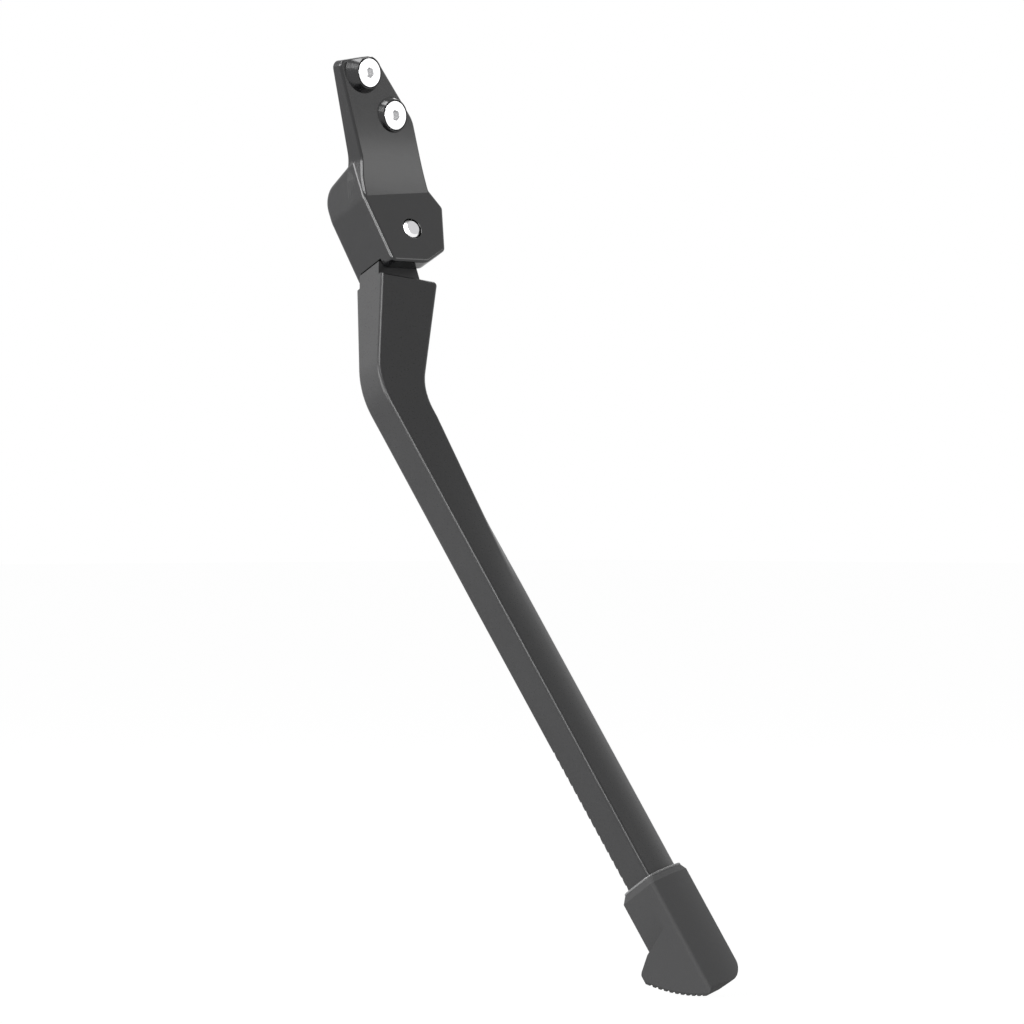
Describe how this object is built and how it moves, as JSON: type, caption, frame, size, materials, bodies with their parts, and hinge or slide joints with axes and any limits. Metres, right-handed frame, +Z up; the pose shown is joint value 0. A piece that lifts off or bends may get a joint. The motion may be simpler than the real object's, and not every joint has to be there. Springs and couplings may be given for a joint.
{
  "type": "bicycle kickstand",
  "caption": "Bolt-on rear kickstand: plate bracket with a forked pivot, cranked folding leg held by a detent, and a toothed sliding foot for height.",
  "frame": {"origin": "midway between the two mounting screws, on the face that sits against the bicycle frame", "axes": "+Z up, +X to the rear of the bicycle, +Y towards the frame and wheel, screw heads face -Y"},
  "size_m": [0.076, 0.1381, 0.3096],
  "materials": {
    "bracket_metal": "black coat, semi-gloss",
    "leg_metal": "black anodised, satin",
    "steel": "plated, bright",
    "plastic": "fine grain"
  },
  "bodies": {
    "bracket_body": {"bracket": "bracket_metal", "mount_screw_upper": "steel", "mount_screw_lower": "steel", "pivot_pin": "steel"},
    "leg_body": {"leg": "leg_metal", "detent_spring": "steel"},
    "plunger_body": {"detent_plunger": "steel"},
    "foot_body": {"foot": "plastic", "latch_pin": "steel", "latch_spring": "steel"},
    "latch_body": {"foot_latch": "plastic"}
  },
  "joints": [
    {"name": "leg_fold", "type": "hinge", "parent": "bracket_body", "child": "leg_body", "pos_m": [0.0079, -0.00465, -0.0495], "axis": [-0.0796, -0.9101, 0.4067], "range_deg": [0, 85]},
    {"name": "detent_slide", "type": "slide", "parent": "leg_body", "child": "plunger_body", "axis": [0.3416, 0.3584, 0.8688], "range_m": [0, 0.00075], "stiffness_N_per_m": 3000, "springref_m": 0.003, "deforming": ["detent_spring"]},
    {"name": "foot_slide", "type": "slide", "parent": "leg_body", "child": "foot_body", "axis": [-0.2624, 0.4128, 0.8722], "range_m": [0, 0.0186]},
    {"name": "latch_rock", "type": "hinge", "parent": "foot_body", "child": "latch_body", "pos_m": [0.03723, -0.09939, -0.27564], "axis": [-0.9617, -0.0373, -0.2717], "range_deg": [0, 8], "stiffness_Nm_per_rad": 0.05, "springref_deg": -17.19, "deforming": ["latch_spring"]}
  ]
}
